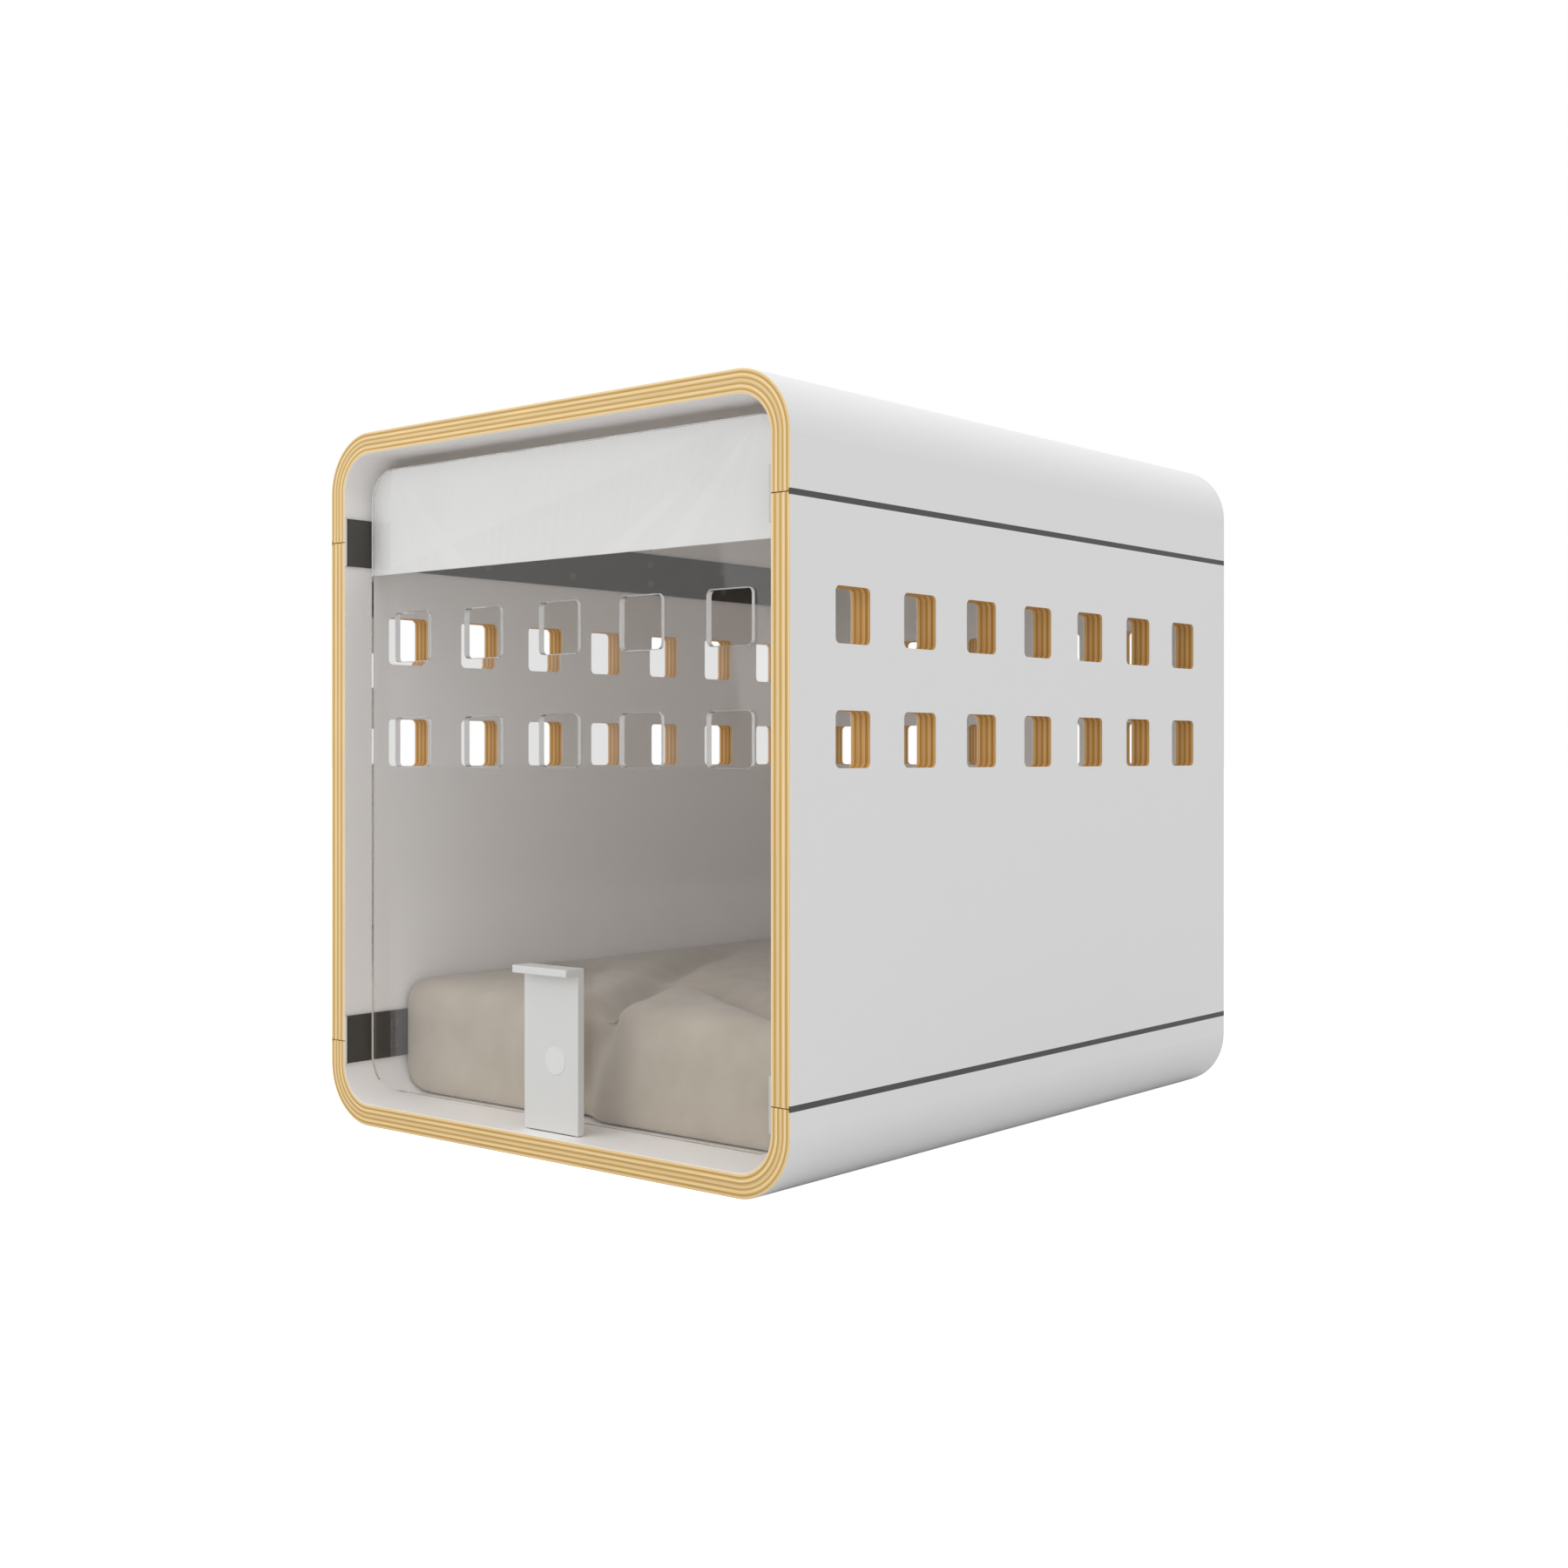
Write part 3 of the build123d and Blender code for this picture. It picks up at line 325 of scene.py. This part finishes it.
# Extruded trim: dull charcoal, with hardly a highlight.
charcoal_trim = coated("charcoal_extruded_trim", "4A4A4A", 0.5, 0.8 * MM, 0.02 * MM)
# Powder coat on steel: an even white with a soft, broad highlight.
white_coat = coated("white_powder_coat_steel", "DCDCDA", 0.35, 1.0 * MM, 0.04 * MM)
# Gloss enamel: a bright white that mirrors its surroundings faintly.
white_enamel = coated("gloss_white_enamel", "EBEBEA", 0.16, 2.0 * MM, 0.02 * MM)
# Moulded nylon, dyed white: smooth and satin.
white_moulding = coated("white_moulded_nylon", "E4E4E2", 0.3, 1.0 * MM, 0.02 * MM)
# Moulded nylon, undyed: ivory and rather dull.
natural_nylon = coated("natural_moulded_nylon", "E6E3D8", 0.45, 0.8 * MM, 0.03 * MM)
# Ground steel: bright, with tight highlights.
ground_steel = coated("ground_bright_steel", "B9BABB", 0.28, 0.5 * MM, 0.01 * MM, metallic=1.0)
# Dark zinc plate: a brownish metal, duller than the bare steel.
zinc_plate = coated("dark_zinc_plated_steel", "6E6A64", 0.35, 0.6 * MM, 0.02 * MM, metallic=1.0)
# Anodised aluminium: a pale metal with wide, silky highlights.
anodised = coated("satin_anodised_aluminium", "C4C6C8", 0.4, 0.6 * MM, 0.01 * MM, metallic=1.0)
# Turned beech: warm tan and matt.
beech = coated("turned_beech", "C79A6A", 0.6, 2.0 * MM, 0.05 * MM)
acrylic = clear_acrylic()
cloth_cover = brushed_cloth()

FINISH_OF_SLOT = {
    "laminated_ply": wall_plywood,
    "dark_steel": charcoal_coat,
    "bead": charcoal_trim,
    "zinc_screw": zinc_plate,
    "beech_dowel": beech,
    "aluminium_track": anodised,
    "nylon": natural_nylon,
    "axle_steel": ground_steel,
    "clear_acrylic": acrylic,
    "white_metal": white_coat,
    "white_plastic": white_moulding,
    "magnet": ground_steel,
    "cushion_cover": cloth_cover,
}
for subpart in frame["record"]["subparts"]:
    mesh = nodes[subpart["node"]].data
    mesh.materials.clear()
    mesh.materials.append(FINISH_OF_SLOT[subpart["material_slot"]])
for node, finish in (
    ("top_shell", bent_plywood),
    ("bottom_shell", bent_plywood),
    ("back_panel", back_plywood),
    ("gate_header", white_enamel),
):
    nodes[node].data.materials[0] = finish

# ---- Cushion ----
# The pad is slack: it is pinched at one point of its top, from which three creases run out. A fourth, broad
# and shallow, lies behind them.
PAD_VOXEL = 5.5 * MM
PAD_OVERFILL = np.array([16 * MM, 4 * MM, 8 * MM])      # how far past its room the pad is cut, each way
PAD_ROOM_FOR_SWELL = np.array([0.0, 4 * MM, 4 * MM])    # room left in front, behind and above it
PAD_BULGE = np.array([0.0, 4 * MM, 0.0])                # how far its front may bulge
PAD_SWELL = 16 * MM                                     # how far the swelling may carry a point
PAD_STRETCH = 0.03                                      # share by which the swelling lengthens its cloth
PAD_PRESSURE = 4.0
PAD_FRAMES = 20
PAD_SOFTENING = 5                                       # passes of smoothing once it is pressed
PINCH = (-58 * MM, -98 * MM, 112 * MM)
# Each crease: its depth, its half width, and its points. Where it leaves the pad's surface, it fades out.
CREASES = (
    (22 * MM, 12 * MM, (PINCH, (-2 * MM, -205 * MM, 104 * MM), (4 * MM, -232 * MM, 85 * MM),
                        (-10 * MM, -238 * MM, 55 * MM), (-22 * MM, -236 * MM, 16 * MM))),
    (16 * MM, 12 * MM, (PINCH, (4 * MM, -100 * MM, 110 * MM), (89 * MM, -157 * MM, 106 * MM),
                        (164 * MM, -199 * MM, 98 * MM))),
    (13 * MM, 13 * MM, (PINCH, (-118 * MM, -10 * MM, 106 * MM), (-162 * MM, 90 * MM, 110 * MM),
                        (-190 * MM, 150 * MM, 124 * MM))),
    (8 * MM, 24 * MM, ((60 * MM, 20 * MM, 106 * MM), (120 * MM, 110 * MM, 106 * MM),
                       (190 * MM, 190 * MM, 96 * MM))),
)
TUBE_CORNER = BEND_RADIUS - PLY
# Each long edge of the pad: the two axes across it, the side of the pad it is on along each, and its radius.
PAD_EDGES = (
    ((0, 2), (-1, -1), TUBE_CORNER),
    ((0, 2), (1, -1), TUBE_CORNER),
    ((0, 2), (-1, 1), 5 * MM),
    ((0, 2), (1, 1), 5 * MM),
    ((1, 2), (-1, 1), 24 * MM),
    ((1, 2), (1, 1), 24 * MM),
    ((1, 2), (-1, -1), 6 * MM),
    ((0, 1), (-1, -1), 6 * MM),
    ((0, 1), (1, -1), 6 * MM),
)


def distance_to_line(points, line):
    """Distance from each point to a line of straight runs: the point's share of the way along a run is held
    between 0 and 1, and the nearest run counts."""
    nearest = np.full(len(points), np.inf)
    for start, end in zip(line[:-1], line[1:]):
        run = np.subtract(end, start)
        share = np.clip((points - start) @ run / (run @ run), 0.0, 1.0)
        nearest = np.minimum(nearest, np.linalg.norm(points - start - share[:, None] * run, axis=1))
    return nearest


def keep_in_tube(points, low, high):
    """Moves points that stand outside a box with rounded edges onto its surface: first onto its six faces,
    then, where a point lies beyond the arc of an edge, straight in towards the middle of that arc."""
    kept = np.clip(points, low, high)
    for axes, sides, radius in PAD_EDGES:
        corner = np.array([(low, high)[side > 0][axis] for axis, side in zip(axes, sides)])
        centre = corner - np.multiply(sides, radius)
        out = kept[:, axes] - centre
        reach = np.linalg.norm(out, axis=1)
        beyond = np.flatnonzero((out * sides > 0).all(axis=1) & (reach > radius))
        kept[np.ix_(beyond, axes)] = centre + out[beyond] * (radius / reach[beyond])[:, None]
    return kept


def vertex_array(mesh, name="co"):
    """Places or normals of a mesh's vertices, as an array with three columns."""
    flat = np.empty(3 * len(mesh.vertices))
    mesh.vertices.foreach_get(name, flat)
    return flat.reshape(-1, 3)


def apply_modifiers(piece):
    """Replaces a piece's mesh with what its modifiers make of it, and removes them."""
    made = bpy.data.meshes.new_from_object(piece.evaluated_get(bpy.context.evaluated_depsgraph_get()))
    piece.modifiers.clear()
    piece.data = made


def slack_pad():
    """The pad: its plain solid is cut too big, pressed into the tube, creased, blown up as cloth and pressed
    in again. A crease sinks the skin by its depth times a bell curve of the distance to its line, and the
    deepest crease counts. The swelling's moves are held under PAD_SWELL by a hyperbolic tangent."""
    low, high = (np.array(corner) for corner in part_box("cushion"))
    pad = bpy.data.objects.new("slack_pad", nodes["cushion"].data.copy())
    bpy.context.scene.collection.objects.link(pad)
    remesh = pad.modifiers.new("remesh", "REMESH")
    remesh.mode = "VOXEL"
    remesh.voxel_size = PAD_VOXEL
    apply_modifiers(pad)

    middle, half = (low + high) / 2, (high - low) / 2
    points = middle + (vertex_array(pad.data) - middle) * (half + PAD_OVERFILL) / half
    points = keep_in_tube(points, low + PAD_ROOM_FOR_SWELL * (1, 1, 0), high - PAD_ROOM_FOR_SWELL)
    normals = vertex_array(pad.data, "normal")
    sink, pinned = np.zeros(len(points)), np.zeros(len(points))
    for depth, half_width, line in CREASES:
        fall = np.exp(-((distance_to_line(points, line) / half_width) ** 2))
        sink = np.maximum(sink, depth * fall)
        pinned = np.maximum(pinned, np.clip(1.6 * fall - 0.6, 0.0, 1.0))
    points = points - normals * sink[:, None]
    pad.data.vertices.foreach_set("co", points.ravel())
    pad.data.update()

    sewn = pad.vertex_groups.new(name="creases")
    for index in np.flatnonzero(pinned > 0.05):
        sewn.add([int(index)], float(pinned[index]), "REPLACE")
    cloth = pad.modifiers.new("cloth", "CLOTH")
    cloth.settings.use_pressure = True
    cloth.settings.uniform_pressure_force = PAD_PRESSURE
    cloth.settings.shrink_min = -PAD_STRETCH
    cloth.settings.vertex_group_mass = sewn.name
    cloth.settings.effector_weights.gravity = 0.0
    for frame_number in range(1, PAD_FRAMES + 1):
        bpy.context.scene.frame_set(frame_number)
    apply_modifiers(pad)
    bpy.context.scene.frame_set(1)
    pad.vertex_groups.clear()
    move = vertex_array(pad.data) - points
    length = np.maximum(np.linalg.norm(move, axis=1), 1e-9)
    points = points + move * (PAD_SWELL * np.tanh(length / PAD_SWELL) / length)[:, None]

    pad.data.vertices.foreach_set("co", keep_in_tube(points, low - PAD_BULGE, high).ravel())
    pad.data.update()
    soften = pad.modifiers.new("soften", "SMOOTH")
    soften.iterations = PAD_SOFTENING
    apply_modifiers(pad)
    pad.data.polygons.foreach_set("use_smooth", [True] * len(pad.data.polygons))
    smoother = pad.modifiers.new("finer", "SUBSURF")
    smoother.levels = smoother.render_levels = 1
    pad.data.materials.clear()
    pad.data.materials.append(cloth_cover)
    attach(pad, "root")
    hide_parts("cushion")


slack_pad()

# ---- Floor, light and camera ----
FLOOR_HALF = 40.0
ROOM_LIGHT = 0.80
# Each lamp: name, place, turn in degrees, size across, watts.
LAMPS = (
    ("overhead", (0.2, -0.2, 2.6), (0.0, 0.0, 0.0), 2.4, 20.0),
    ("front", (-0.9, -2.6, 1.2), (72.0, 0.0, -18.0), 1.8, 13.0),
)
CAMERA_PLACE = (0.97023, -1.19061, 0.27737)
CAMERA_ROUND = 40.05        # degrees round to the right of the gate
CAMERA_LENS = 43.825        # millimetres, on a sensor 36 mm wide
CAMERA_SHIFT = (0.00875, -0.01752)


def seen_and_lit(tree, seen, lit):
    """A strength that is one value where the camera sees a surface, and another where it gives light."""
    camera_ray = add(tree, "LightPath").outputs["Is Camera Ray"]
    return add(tree, "Mix", {"Factor": camera_ray, 2: lit, 3: seen}, data_type="FLOAT").outputs[0]


def white_floor():
    """A paper sweep on z = 0, overexposed to plain white, which sends up as much light as lit grey paper."""
    mesh = bpy.data.meshes.new("floor")
    corners = [(FLOOR_HALF * x, FLOOR_HALF * y, 0.0) for x, y in ((-1, -1), (1, -1), (1, 1), (-1, 1))]
    mesh.from_pydata(corners, [], [(0, 1, 2, 3)])
    material, tree, shader = new_material(
        "white_paper_sweep", base_color=linear("D8D8D8"), roughness=0.9, emission_color=linear("FFFFFF"))
    tree.links.new(seen_and_lit(tree, 1.0, 0.0), shader.inputs["Emission Strength"])
    mesh.materials.append(material)
    plane = bpy.data.objects.new("floor", mesh)
    bpy.context.scene.collection.objects.link(plane)


def studio_light():
    """A white room, with one large soft lamp overhead and one in front, to the left."""
    world = bpy.data.worlds.new("studio")
    world.use_nodes = True
    bpy.context.scene.world = world
    tree = world.node_tree
    background = tree.nodes["Background"]
    background.inputs["Color"].default_value = (1.0, 1.0, 1.0, 1.0)
    tree.links.new(seen_and_lit(tree, 1.0, ROOM_LIGHT), background.inputs["Strength"])

    for name, place, turn, size, power in LAMPS:
        lamp = bpy.data.lights.new(name, "AREA")
        lamp.size = size
        lamp.energy = power
        holder = bpy.data.objects.new(name, lamp)
        holder.location = place
        holder.rotation_euler = [math.radians(angle) for angle in turn]
        holder.visible_glossy = False
        bpy.context.scene.collection.objects.link(holder)


def place_camera():
    """Eye level is 277 mm above the floor, level, 40 degrees round to the right of the gate."""
    camera = bpy.data.cameras.new("camera")
    camera.sensor_width = 36.0
    camera.lens = CAMERA_LENS
    camera.shift_x, camera.shift_y = CAMERA_SHIFT
    camera.clip_end = 100.0
    holder = bpy.data.objects.new("camera", camera)
    holder.location = CAMERA_PLACE
    holder.rotation_euler = (math.radians(90), 0.0, math.radians(CAMERA_ROUND))
    bpy.context.scene.collection.objects.link(holder)
    bpy.context.scene.camera = holder


white_floor()
studio_light()
place_camera()
bpy.context.scene.view_settings.view_transform = "Standard"
